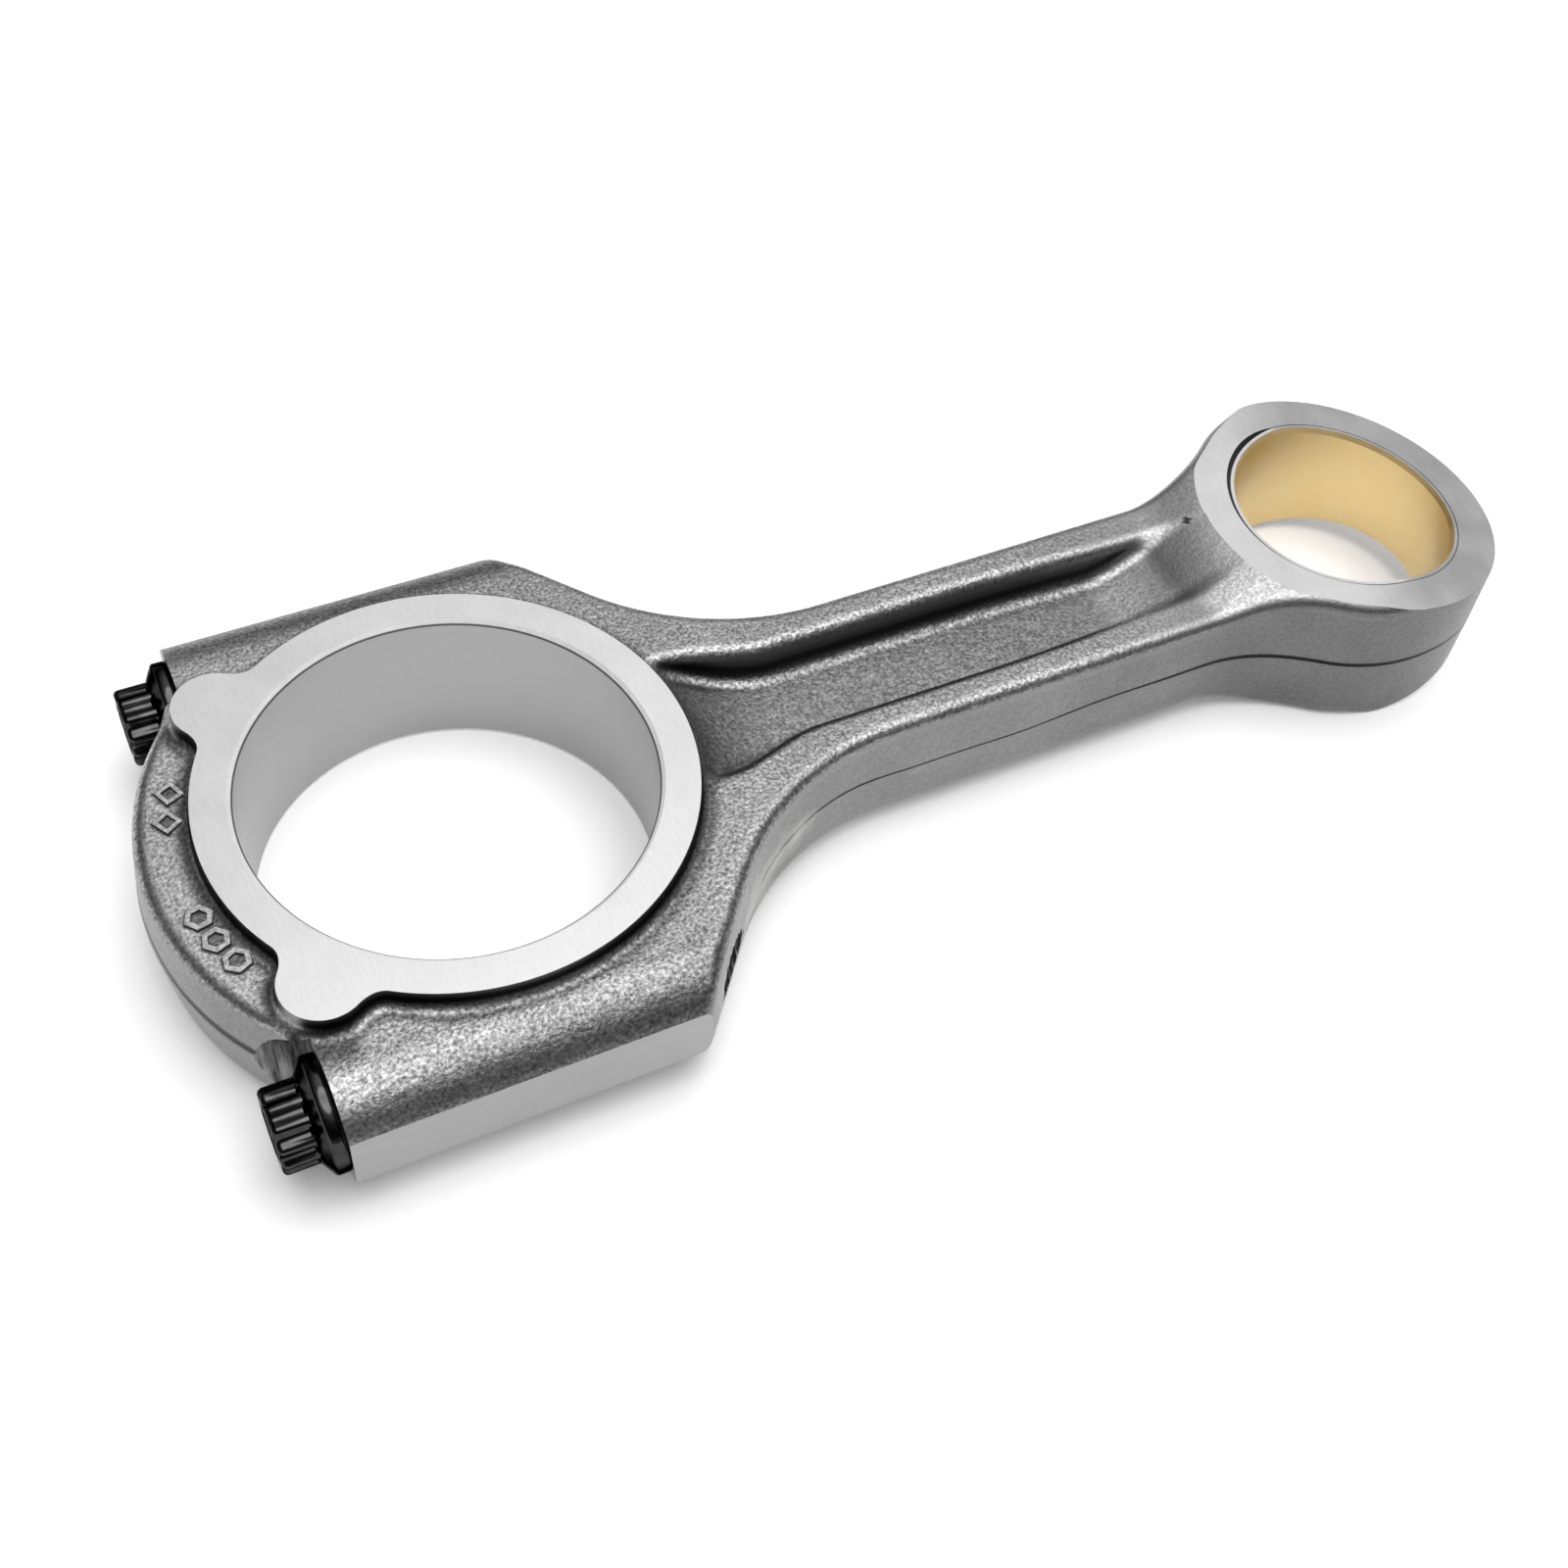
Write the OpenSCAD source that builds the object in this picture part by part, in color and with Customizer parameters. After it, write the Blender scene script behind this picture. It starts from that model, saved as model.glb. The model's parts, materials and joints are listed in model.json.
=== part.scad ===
// Connecting rod of a medium-duty diesel engine.
// The origin is the centre of the big-end bore, +X points to the small end and +Z along the bore axes.

/* [Ends] */
// Distance between the two bore axes
centre_distance = 192; // [175:1:210]
// Thickness of both ends between their machined faces
end_thickness = 31.5; // [29:0.5:34]
// Diameter of the big-end housing bore
housing_bore_d = 73; // [70:0.5:74]
// Diameter of the machined ring around the housing bore
ring_d = 87.2; // [86:0.2:90]
// Chamfer at both mouths of the housing bore
housing_chamfer = 0.9; // [0.4:0.1:1.5]
// Inside diameter of the small-end bush
pin_bore_d = 45; // [42:0.5:45]
// Outside diameter of the small end
small_end_d = 63.8; // [62:0.2:68]

/* [Keystone small end] */
// Angle of the tapered part of each small-end face, in degrees
keystone_angle = 9.2; // [5:0.1:10]
// Distance from the pin axis back to the start of the taper
keystone_start = 7; // [0:0.5:12]
// Radial thickness of the bush
bush_wall = 1.5; // [1:0.1:2]
// Chamfer of the bush housing, which leaves the bush end set back from the untapered face
bush_setback = 0.8; // [0.4:0.1:1.2]
// Interference of the bush in its housing, on radius
bush_interference = 0.02; // [0:0.01:0.04]

/* [Forging] */
// Thickness of the forging outside the machined faces
forging_thickness = 24; // [22:0.5:26]
// Width of the shank at its middle
shank_w = 36; // [32:0.5:38]
// Depth of the pocket in each side of the shank
pocket_depth = 7.2; // [4:0.1:9]
// Width of the pocket along the shank
pocket_w = 19.8; // [14:0.2:20]
// Width of the pocket where it flares out beside the big end
pocket_flare_w = 28.4; // [24:0.2:29]
// Distance of the pocket from the machined ring
pocket_gap = 2; // [1:0.5:4]
// Radius of the hollow between the shoulder and the shank
shoulder_r = 50; // [40:1:55]
// Slope of the shoulder, in degrees from the shank
shoulder_angle = 51; // [45:1:55]
// Radius of the hollow between the shank and the small end
neck_r = 40; // [30:1:45]

/* [Cap] */
// Outer radius of the forged cap
cap_r = 55; // [53:0.5:58]
// Width across the two milled side flats
flats_w = 111; // [108:0.5:113]
// Distance from the bore axis to the bolt seats
seat_distance = 36.8; // [35:0.2:40]
// Radius of the spot face round each bolt head
spot_face_r = 14; // [12.5:0.5:15]
// Radius of the two machined pads beside the cap's ring
pad_r = 7.4; // [6:0.2:8]
// Distance of the pads from the bore axis, along the rod
pad_x = 32.3; // [31:0.1:34]
// Distance of the pads from the rod's centre line
pad_y = 31; // [30:0.1:33]

/* [Bolts] */
// Distance between the two bolt axes
bolt_spacing = 90; // [89.5:0.1:91]
// Thread diameter of the bolts
bolt_d = 11; // [10:0.5:11]
// Radial clearance of the bolt in the rod's thread
thread_clearance = 0.05; // [0.02:0.01:0.1]
// Radial clearance of the bolt in the cap
cap_hole_clearance = 0.3; // [0.2:0.05:0.5]
// Length of the bolt under its head
bolt_length = 67.8; // [66:0.1:72]
// Diameter of the bolt's flange
flange_d = 20.4; // [18:0.2:21]
// Thickness of the flange's rim
flange_rim = 2.8; // [2:0.1:3.5]
// Width across the flats of the 12-point head
head_flats = 12.8; // [12:0.1:13]
// Diameter that trims the points of the head
head_points_d = 14.6; // [13.8:0.1:15]
// Height of the whole head with its flange
head_height = 10.3; // [9:0.1:12]

/* [Hidden] */
$fn = 96;

face_z = end_thickness / 2;
forging_z = forging_thickness / 2;
housing_r = housing_bore_d / 2;
pin_r = pin_bore_d / 2;
bush_housing_r = pin_r + bush_wall;
small_end_r = small_end_d / 2;
shank_y = shank_w / 2;
bolt_y = bolt_spacing / 2;
bolt_r = bolt_d / 2;
// the forged boss round each bolt is as thick as the forging
boss_r = forging_z;
// length that is safely longer than any piece
past = 400;
// small overlap that makes joined solids one piece
weld = 0.5;

// the shoulder's slope ends the milled side flats at this distance from the joint
flats_end_x = 25.9;
function shoulder_x(y) = flats_end_x + (flats_w / 2 - y) / tan(shoulder_angle);
// where the shoulder's slope meets the hollow that leads into the shank, and that hollow's centre
hollow_y = shank_y + shoulder_r * (1 - cos(shoulder_angle));
hollow_x = shoulder_x(hollow_y);
shoulder_c = [hollow_x + shoulder_r * sin(shoulder_angle), shank_y + shoulder_r];
// centre of the hollow between the shank and the small end
neck_c = [
    centre_distance - sqrt(pow(small_end_r + neck_r, 2) - pow(shank_y + neck_r, 2)),
    shank_y + neck_r
];
// the small end's faces ramp down to the shank over this length
ramp_length = 14;
// the pocket starts here with rounded corners and narrows over the first length and the last
pocket_start_x = ring_d / 2 + pocket_gap;
pocket_corner_r = 4;
pocket_flare_length = 19;
pocket_taper_length = 24;
// lengths over which the pocket's floor falls from the big end and rises to the small end
pocket_near_slope = 9;
pocket_far_slope = 15;
// the keystone taper is drawn this far beyond the small end
taper_margin = 5;

module both_sides() {
    children();
    mirror([0, 1, 0]) children();
}

module both_faces() {
    children();
    mirror([0, 0, 1]) children();
}

// Half of the rod's outline on the +Y side, without the small end itself
module half_outline() {
    difference() {
        polygon([
            [0, 0],
            [0, flats_w / 2],
            [shoulder_x(flats_w / 2), flats_w / 2],
            [hollow_x, hollow_y],
            [shoulder_c[0], shank_y],
            [neck_c[0], shank_y],
            [centre_distance, small_end_r - weld],
            [centre_distance, 0]
        ]);
        translate(shoulder_c) circle(r = shoulder_r);
        translate(neck_c) circle(r = neck_r);
    }
}

// Outline of the pocket on the +Y side: a channel along the shank that flares out beside the ring
module half_pocket() {
    corner = [pocket_start_x + pocket_corner_r, pocket_flare_w / 2 - pocket_corner_r];
    channel_x = pocket_start_x + pocket_flare_length;
    end_x = centre_distance - small_end_r;
    taper_x = end_x - pocket_taper_length;
    difference() {
        union() {
            polygon([
                [0, 0],
                [0, corner[1]],
                [pocket_start_x, corner[1]],
                [corner[0], pocket_flare_w / 2],
                [channel_x, pocket_w / 2],
                [taper_x, pocket_w / 2],
                [end_x, 0]
            ]);
            translate(corner) circle(r = pocket_corner_r);
        }
        circle(r = pocket_start_x);
    }
}

// One pocket: its ends slope up from the web to the face of the shank
module pocket() {
    end_x = centre_distance - small_end_r;
    floor_z = forging_z - pocket_depth;
    intersection() {
        linear_extrude(face_z) both_sides() half_pocket();
        rotate([90, 0, 0]) translate([0, 0, -shank_w]) linear_extrude(2 * shank_w) polygon([
            [pocket_start_x, face_z],
            [pocket_start_x, forging_z],
            [pocket_start_x + pocket_near_slope, floor_z],
            [end_x - pocket_far_slope, floor_z],
            [end_x, forging_z],
            [end_x, face_z]
        ]);
    }
}

// The forging's section across the big end: flat between the bolts and round outside them
module boss_section(from_x, to_x) {
    length = to_x - from_x;
    translate([from_x, -bolt_y, -forging_z]) cube([length, bolt_spacing, forging_thickness]);
    both_sides() translate([from_x, bolt_y, 0]) rotate([0, 90, 0]) cylinder(r = boss_r, h = length);
}

// Everything between the two milled side flats
module between_flats() {
    translate([-past, -flats_w / 2, -past]) cube([2 * past, flats_w, 2 * past]);
}

// Everything on the rod's side of the joint face
module rod_side() {
    translate([0, -past, -past]) cube(2 * past);
}

// The space that both machined faces leave, with the keystone taper at the small end
module keystone_space(half_z) {
    taper_x = centre_distance - keystone_start;
    tip_x = centre_distance + small_end_r + taper_margin;
    tip_z = face_z - (tip_x - taper_x) * tan(keystone_angle);
    // a face set lower than the end's face meets the taper further out
    meet_x = taper_x + (face_z - half_z) / tan(keystone_angle);
    rotate([90, 0, 0]) translate([0, 0, -past / 2]) linear_extrude(past) polygon([
        [-past, -half_z], [meet_x, -half_z], [tip_x, -tip_z],
        [tip_x, tip_z], [meet_x, half_z], [-past, half_z]
    ]);
}

// The ground ring of the big end
module ring() {
    translate([0, 0, -face_z]) cylinder(r = ring_d / 2, h = end_thickness);
}

// The housing bore with its two chamfers
module housing_bore() {
    translate([0, 0, -past / 2]) cylinder(r = housing_r, h = past);
    both_faces() translate([0, 0, face_z - housing_chamfer])
        cylinder(r1 = housing_r, r2 = housing_r + 2 * housing_chamfer, h = 2 * housing_chamfer);
}

// The small end as a round eye, with the ramp that carries its faces down to the shank
module eye() {
    ramp_r = small_end_r + ramp_length;
    intersection() {
        union() {
            translate([centre_distance, 0, -face_z]) cylinder(r = small_end_r, h = end_thickness);
            intersection() {
                translate([centre_distance, 0, 0]) rotate_extrude() polygon([
                    [0, -face_z], [small_end_r, -face_z], [ramp_r, -forging_z],
                    [ramp_r, forging_z], [small_end_r, face_z], [0, face_z]
                ]);
                translate([0, 0, -face_z]) linear_extrude(end_thickness) both_sides() half_outline();
            }
        }
        keystone_space(face_z);
    }
}

// The housing of the bush, chamfered before the taper was ground
module bush_housing() {
    translate([centre_distance, 0, -past / 2]) cylinder(r = bush_housing_r, h = past);
    both_faces() translate([centre_distance, 0, face_z - bush_setback])
        cylinder(r1 = bush_housing_r, r2 = bush_housing_r + 2 * bush_setback, h = 2 * bush_setback);
}

module rod_body() {
    color("#8c8c8a") difference() {
        union() {
            intersection() {
                linear_extrude(forging_thickness, center = true) both_sides() half_outline();
                union() {
                    boss_section(0, hollow_x + shoulder_r);
                    translate([hollow_x, -past / 2, -forging_z]) cube([past, past, forging_thickness]);
                }
                between_flats();
            }
            intersection() {
                ring();
                rod_side();
            }
            eye();
        }
        housing_bore();
        bush_housing();
        both_faces() pocket();
        both_sides() translate([-weld, bolt_y, 0]) rotate([0, 90, 0])
            cylinder(r = bolt_r, h = shoulder_x(0) + weld);
    }
}

module bearing_cap() {
    color("#8f8f8d") difference() {
        intersection() {
            union() {
                intersection() {
                    union() {
                        translate([0, 0, -forging_z]) cylinder(r = cap_r, h = forging_thickness);
                        translate([-seat_distance, -flats_w / 2, -forging_z])
                            cube([seat_distance + weld, flats_w, forging_thickness]);
                    }
                    boss_section(-past, weld);
                }
                ring();
                both_sides() translate([-pad_x, pad_y, -face_z]) cylinder(r = pad_r, h = end_thickness);
            }
            between_flats();
            translate([-past, -past, -past]) cube([past, 2 * past, 2 * past]);
        }
        housing_bore();
        both_sides() translate([-past - seat_distance, bolt_y, 0]) rotate([0, 90, 0])
            cylinder(r = spot_face_r, h = past);
        both_sides() translate([-past / 2, bolt_y, 0]) rotate([0, 90, 0])
            cylinder(r = bolt_r + cap_hole_clearance, h = past);
    }
}

// One bolt along +X, with the underside of its flange at x = 0
module flange_bolt() {
    shank_r = bolt_r - thread_clearance;
    cone_h = 1.6;
    // the cone stops this far inside the flange's rim
    cone_inset = 1;
    tip_chamfer = 1.2;
    points_h = head_height - flange_rim - cone_h;
    rotate([0, 90, 0]) {
        translate([0, 0, -flange_rim]) cylinder(d = flange_d, h = flange_rim);
        translate([0, 0, -flange_rim - cone_h])
            cylinder(r1 = head_points_d / 2, r2 = flange_d / 2 - cone_inset, h = cone_h + weld);
        intersection() {
            union() for (turn = [0, 30]) rotate(turn) translate([0, 0, -head_height])
                cylinder(d = head_flats / cos(30), h = points_h + weld, $fn = 6);
            translate([0, 0, -head_height]) cylinder(d = head_points_d, h = points_h + weld);
        }
        translate([0, 0, -weld]) cylinder(r = shank_r, h = bolt_length + weld - tip_chamfer);
        translate([0, 0, bolt_length - tip_chamfer])
            cylinder(r1 = shank_r, r2 = shank_r - tip_chamfer, h = tip_chamfer);
    }
}

module cap_bolt_left() {
    color("#1b1b1c") translate([-seat_distance, bolt_y, 0]) flange_bolt();
}

module cap_bolt_right() {
    color("#1b1b1c") translate([-seat_distance, -bolt_y, 0]) flange_bolt();
}

module small_end_bush() {
    color("#b98d45") intersection() {
        translate([centre_distance, 0, -face_z]) difference() {
            cylinder(r = bush_housing_r + bush_interference, h = end_thickness);
            translate([0, 0, -weld]) cylinder(r = pin_r, h = end_thickness + 2 * weld);
        }
        keystone_space(face_z - bush_setback);
    }
}

rod_body();
bearing_cap();
cap_bolt_left();
cap_bolt_right();
small_end_bush();
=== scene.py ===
"""The looks of the connecting rod: the forging, its machined faces, the rod bolts and the bush."""
import json
import math

import bmesh
import bpy
import numpy as np
import openvdb
from mathutils import Matrix, Vector


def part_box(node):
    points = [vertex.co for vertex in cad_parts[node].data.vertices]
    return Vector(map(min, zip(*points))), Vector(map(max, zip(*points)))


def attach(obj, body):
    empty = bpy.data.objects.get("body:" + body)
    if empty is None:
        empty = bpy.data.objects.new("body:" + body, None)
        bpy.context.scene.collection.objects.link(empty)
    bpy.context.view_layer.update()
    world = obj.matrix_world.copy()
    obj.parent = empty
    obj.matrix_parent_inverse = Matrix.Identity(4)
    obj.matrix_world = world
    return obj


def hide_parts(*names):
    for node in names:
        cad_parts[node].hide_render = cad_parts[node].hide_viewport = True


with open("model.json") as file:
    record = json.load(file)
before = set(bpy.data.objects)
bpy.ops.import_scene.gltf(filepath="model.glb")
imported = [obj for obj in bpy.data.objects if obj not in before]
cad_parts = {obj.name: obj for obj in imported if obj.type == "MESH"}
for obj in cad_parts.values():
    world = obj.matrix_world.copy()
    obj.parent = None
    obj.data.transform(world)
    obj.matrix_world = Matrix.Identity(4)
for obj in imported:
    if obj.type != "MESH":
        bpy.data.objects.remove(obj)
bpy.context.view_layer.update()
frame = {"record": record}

# ---------------------------------------------------------------- sizes, in millimetres
MM = 0.001
mounts = {mount["name"]: mount for mount in frame["record"]["mounts"]}
rod_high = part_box("rod_body")[1] / MM
cap_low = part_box("bearing_cap")[0] / MM
bolt_low, bolt_high = (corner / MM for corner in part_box("cap_bolt_left"))
bush_low, bush_high = (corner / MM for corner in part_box("small_end_bush"))

# how far inside the CAD box the forging's round ends stay
INSET = 0.03

# sizes read from the frame
PIN_X = mounts["small_end_bore"]["pos_m"][0] / MM
PIN_R = mounts["small_end_bore"]["dims"]["r_mm"]
HOUSING_R = mounts["big_end_bore"]["dims"]["r_mm"]
FACE_Z = rod_high.z
FLAT_Y = rod_high.y
CAP_R = -cap_low.x - INSET
EYE_R = rod_high.x - PIN_X - INSET
BUSH_R = round((bush_high.y - bush_low.y) / 2, 1)
BOLT_Y = (bolt_low.y + bolt_high.y) / 2
FLANGE_R = (bolt_high.z - bolt_low.z) / 2
BOLT_HEAD_X = bolt_low.x
BOLT_TIP_X = bolt_high.x
BUSH_FACE_Z = bush_high.z

# the forging: the height of its level face and the drafts of its sides
LEVEL = 12.1
DRAFT = math.radians(4)
CAP_DRAFT = math.radians(6.5)
RING_DRAFT = math.radians(6)

# its outline, seen along the bores, and the axis of its round sides over the bolts
SHANK_Y = 18.0
SHOULDER_ANGLE = math.radians(51)
SHOULDER_END_X = 25.9
SHOULDER_R = 50.0
NECK_R = 40.0
BOSS_Y = 45.1

# the upper face rises by NECK_RISE between two distances from the pin's axis, and by TIP_RISE
# between two places along the rod
NECK_RISE = 4.1
NECK_RISE_R = (45, 28)
TIP_RISE = 3.0
TIP_RISE_X = (PIN_X - 12, PIN_X + 2)

# the pocket in each side of the shank: POCKET_FLARE_Y is half its width at the ring and POCKET_Y
# along the shank. Towards the small end it narrows and its floor runs out
POCKET_START_X = 30.0
POCKET_FLARE_Y = 14.4
POCKET_FLARE_X = (67, 46)
POCKET_Y = 10.0
POCKET_NARROWING = 1.6
POCKET_NARROWING_X = (105, 155)
POCKET_RUNOUT_X = (134, 162)
POCKET_DEPTH = 7.2
POCKET_DRAFT = math.radians(12)

# the forging's edges and fillets
EDGE_R = 2.3
FLAT_EDGE_R = 1.1
CAP_FILLET = 3.0
EAR_FILLET = 3.5
RING_FILLET = 1.8
POCKET_RIM_R = 1.9
POCKET_FLOOR_R = 2.4

# where a pit in the skin of the neck is painted, as a dark spot of painted shade
PIT_X, PIT_Y, PIT_R = 157.7, 7.3, 0.75

# raised marks on the cap, as open outlines on one circle: the angle in degrees and the corners
MARKS = ((158.6, 4), (166.0, 4), (-168.6, 6), (-162.0, 6), (-155.4, 6))
MARK_RING_R = 47.6
MARK_R = 2.7
MARK_STROKE = 1.15
MARK_HEIGHT = 0.5

# the machining: the bolts' seats, the raised ring with its two ears, the keystone faces and the bores
SEAT_X = -36.8
RING_R = 43.6
EAR_X, EAR_Y, EAR_R = -32.3, 31.0, 7.4
KEYSTONE_X = PIN_X - 7
KEYSTONE = math.tan(math.radians(9.2))
KEYSTONE_BEND = 8
HOUSING_CHAMFER = 0.9
BUSH_HOUSING_CHAMFER = 0.8
SPOT_FACE_R = 14.0
THREAD_R = 5.5
THREAD_PITCH = 1.25
TAPPED_DEPTH = 45.0

# how far the bolt's thread and the tapped hole's thread each stay from the nominal radius
THREAD_GAP = 0.1

# the plain hole through the cap
CAP_HOLE_R = 5.8

# the bolt's 12-point head
BOLT_POINT_R = 7.3
BOLT_ROOT_R = 6.55
FLANGE_T = 2.8
CONE_T = 1.6

# the bush
LINING_T = 0.62
BUSH_CHAMFER = 1.0

# how finely the forging is meshed
VOXEL = 0.6


def smoothstep(value, start, end):
    """0 at start, 1 at end, and an S-shaped rise between them. start may be the higher one."""
    t = np.clip((value - start) / (end - start), 0, 1)
    return t * t * (3 - 2 * t)


def round_max(a, b, r):
    """The distance to what two solids share, with the edge between them rounded to radius r."""
    return np.minimum(np.maximum(a, b), -r) + np.hypot(np.maximum(a + r, 0), np.maximum(b + r, 0))


def round_min(a, b, r):
    """The distance to two joined solids, with a fillet of radius r between them."""
    return np.maximum(np.minimum(a, b), r) - np.hypot(np.maximum(r - a, 0), np.maximum(r - b, 0))


# ---------------------------------------------------------------- the forging's shape
HOLLOW_Y = SHANK_Y + SHOULDER_R * (1 - math.cos(SHOULDER_ANGLE))
HOLLOW_X = SHOULDER_END_X + (FLAT_Y - HOLLOW_Y) / math.tan(SHOULDER_ANGLE)
SHOULDER_C = (HOLLOW_X + SHOULDER_R * math.sin(SHOULDER_ANGLE), SHANK_Y + SHOULDER_R)
NECK_C = (PIN_X - math.sqrt((EYE_R + NECK_R) ** 2 - (SHANK_Y + NECK_R) ** 2), SHANK_Y + NECK_R)


def outline(x, y):
    """Distance outside the rod's outline, seen along the bores, on the +Y side."""
    sin_a, cos_a = math.sin(SHOULDER_ANGLE), math.cos(SHOULDER_ANGLE)
    slope = (x - SHOULDER_END_X) * sin_a + (y - FLAT_Y) * cos_a
    along_slope = (x - HOLLOW_X) * cos_a - (y - HOLLOW_Y) * sin_a
    hollow = SHOULDER_R - np.hypot(x - SHOULDER_C[0], y - SHOULDER_C[1])
    neck = NECK_R - np.hypot(x - NECK_C[0], y - NECK_C[1])
    past_neck = (x - NECK_C[0]) * NECK_C[1] + (y - NECK_C[1]) * (PIN_X - NECK_C[0])
    eye = np.hypot(x - PIN_X, y) - EYE_R
    side = np.where(x < NECK_C[0], y - SHANK_Y, np.where(past_neck < 0, neck, eye))
    return np.where(along_slope < 0, slope, np.where(x < SHOULDER_C[0], hollow, side))


def top_z(x, y):
    """Height of the forging's upper face: level, and rising to the small end."""
    from_pin = np.hypot(x - PIN_X, y)
    neck_rise = NECK_RISE * smoothstep(from_pin, *NECK_RISE_R)
    return LEVEL + neck_rise + TIP_RISE * smoothstep(x, *TIP_RISE_X)


def pocket(x, y, z):
    """Distance outside the pocket in one side of the shank. It is widest at the ring, its floor
    falls away steeply from the ring and runs out towards the small end."""
    flare = (POCKET_FLARE_Y - POCKET_Y) * smoothstep(x, *POCKET_FLARE_X)
    width = POCKET_Y + flare - POCKET_NARROWING * smoothstep(x, *POCKET_NARROWING_X)
    from_ring = np.hypot(x, y) - RING_R
    plan = np.maximum(round_max(y - width, 0.8 - from_ring, 3), POCKET_START_X - x)
    top = top_z(x, y)
    wall = plan + (top - z) * math.tan(POCKET_DRAFT)
    runout = smoothstep(x, *POCKET_RUNOUT_X)
    fall = 1 - (1 - np.clip((from_ring + 0.3) / 22, 0, 1)) ** 2.6
    floor = top - POCKET_DEPTH * fall * (1 - runout) + 1.5 * runout
    return round_max(wall, (floor - z) * 0.9, POCKET_FLOOR_R)


def forging(x, y, z):
    """Distance outside the whole forging, rod and cap, before it is machined."""
    y = np.abs(y)
    z = np.abs(z)
    draft = np.tan(DRAFT * (1 - 0.85 * smoothstep(x, NECK_C[0], NECK_C[0] + 30)))
    wall = (outline(x, y) + z * draft) * math.cos(DRAFT)
    boss = np.where(y > BOSS_Y, np.hypot(y - BOSS_Y, z) - LEVEL, z - top_z(x, y))
    crescent = (np.hypot(x, y) - CAP_R + z * math.tan(CAP_DRAFT)) * math.cos(CAP_DRAFT)
    plan = round_min(np.maximum(wall, SEAT_X - 3 - x), np.maximum(crescent, x - SEAT_X - 8), CAP_FILLET)
    edge_r = EDGE_R - (EDGE_R - FLAT_EDGE_R) * smoothstep(y, 48, 53)
    body = round_max(plan, boss, edge_r)
    body = round_max(body, -pocket(x, y, z), POCKET_RIM_R)
    ear = np.hypot(x - EAR_X, y - EAR_Y) - EAR_R
    ring = round_min(np.hypot(x, y) - RING_R, ear, EAR_FILLET)
    ring = np.maximum(ring + (z - FACE_Z) * math.tan(RING_DRAFT), z - FACE_Z - 2)
    return round_min(body, ring, RING_FILLET)


def gradient(distance, points, step=0.05):
    """The distance at each point and its slope along the three axes."""
    x, y, z = points.T
    slope = np.stack([
        distance(x + step, y, z) - distance(x - step, y, z),
        distance(x, y + step, z) - distance(x, y - step, z),
        distance(x, y, z + step) - distance(x, y, z - step),
    ], axis=1) / (2 * step)
    return distance(x, y, z), slope


def mesh_object(name, verts, faces, *materials):
    """A new mesh object from points in millimetres."""
    mesh = bpy.data.meshes.new(name)
    mesh.from_pydata((np.asarray(verts, dtype=float) * MM).tolist(), [], [list(face) for face in faces])
    for material in materials:
        mesh.materials.append(material)
    mesh.update()
    made = bpy.data.objects.new(name, mesh)
    bpy.context.scene.collection.objects.link(made)
    return made


def settle(points, distance):
    """Moves points straight onto the surface where distance is zero."""
    for _ in range(3):
        away, slope = gradient(distance, points)
        size = np.maximum((slope ** 2).sum(axis=1), 0.25)
        points = points - slope * np.clip(away / size, -VOXEL / 2, VOXEL / 2)[:, None]
    return points


def mark_hollows(piece):
    """Stores on each point how deep it lies in a hollow, how much a neighbouring face shuts it in
    and how far it stands out on an edge. The first two drive painted shade; the last lightens edges."""
    mesh = piece.data
    points = np.empty(len(mesh.vertices) * 3)
    mesh.vertices.foreach_get("co", points)
    points = points.reshape(-1, 3) / MM
    _, slope = gradient(forging, points, 0.3)
    slope /= np.maximum(np.linalg.norm(slope, axis=1, keepdims=True), 0.1)

    def average(reaches, sign):
        """How far each point falls short of open space above it (sign 1) or solid steel below (-1)."""
        lost = [1 - sign * forging(*(points + sign * slope * reach).T) / reach for reach in reaches]
        return np.clip(sum(lost) / len(reaches), 0, 1)

    near = (1.2, 2.5, 4.5)
    far = (3.5, 6, 9)
    steep = smoothstep(np.abs(slope[:, 2]), 0.92, 0.57)
    # the first two measures are painted shade: hollows, the marks' feet, a few painted patches and walls
    # shut in by a neighbouring face are darkened
    measures = {
        "hollow": np.maximum.reduce([average(near, 1), mark_foot_shade(points), painted_shade_spots(points, slope)]),
        "shut_in_shade": average(far, 1) * steep,
        "crown_wear_and_highlight": average(near, -1),
    }
    for name, values in measures.items():
        layer = mesh.attributes.new(name, "FLOAT", "POINT")
        layer.data.foreach_set("value", values.astype(np.float32))


def painted_shade_spots(points, slope):
    """Painted shade: a dark spot for a pit on the neck, a dark strip between the ear and the bolt's
    seat and a dark band along one of the pocket's rims."""
    x, y, z = points.T
    pit = np.hypot(x - PIT_X, y - PIT_Y) < PIT_R
    off_ear = np.hypot(x - EAR_X, y + EAR_Y) - EAR_R
    strip = smoothstep(off_ear, 9, 3) * smoothstep(x, EAR_X + 5, EAR_X)
    strip = strip * smoothstep(y, -EAR_Y - 4, -EAR_Y - 7) * smoothstep(z, 8, 11)
    on_rim = smoothstep(slope[:, 1], 0.1, 0.4) * (y < 0) * (y > -15.5) * (z > 0)
    rim = on_rim * smoothstep(x, 44, 48) * smoothstep(x, 140, 115)
    return np.maximum.reduce([0.35 * pit, 0.24 * strip, 0.3 * rim])


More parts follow.
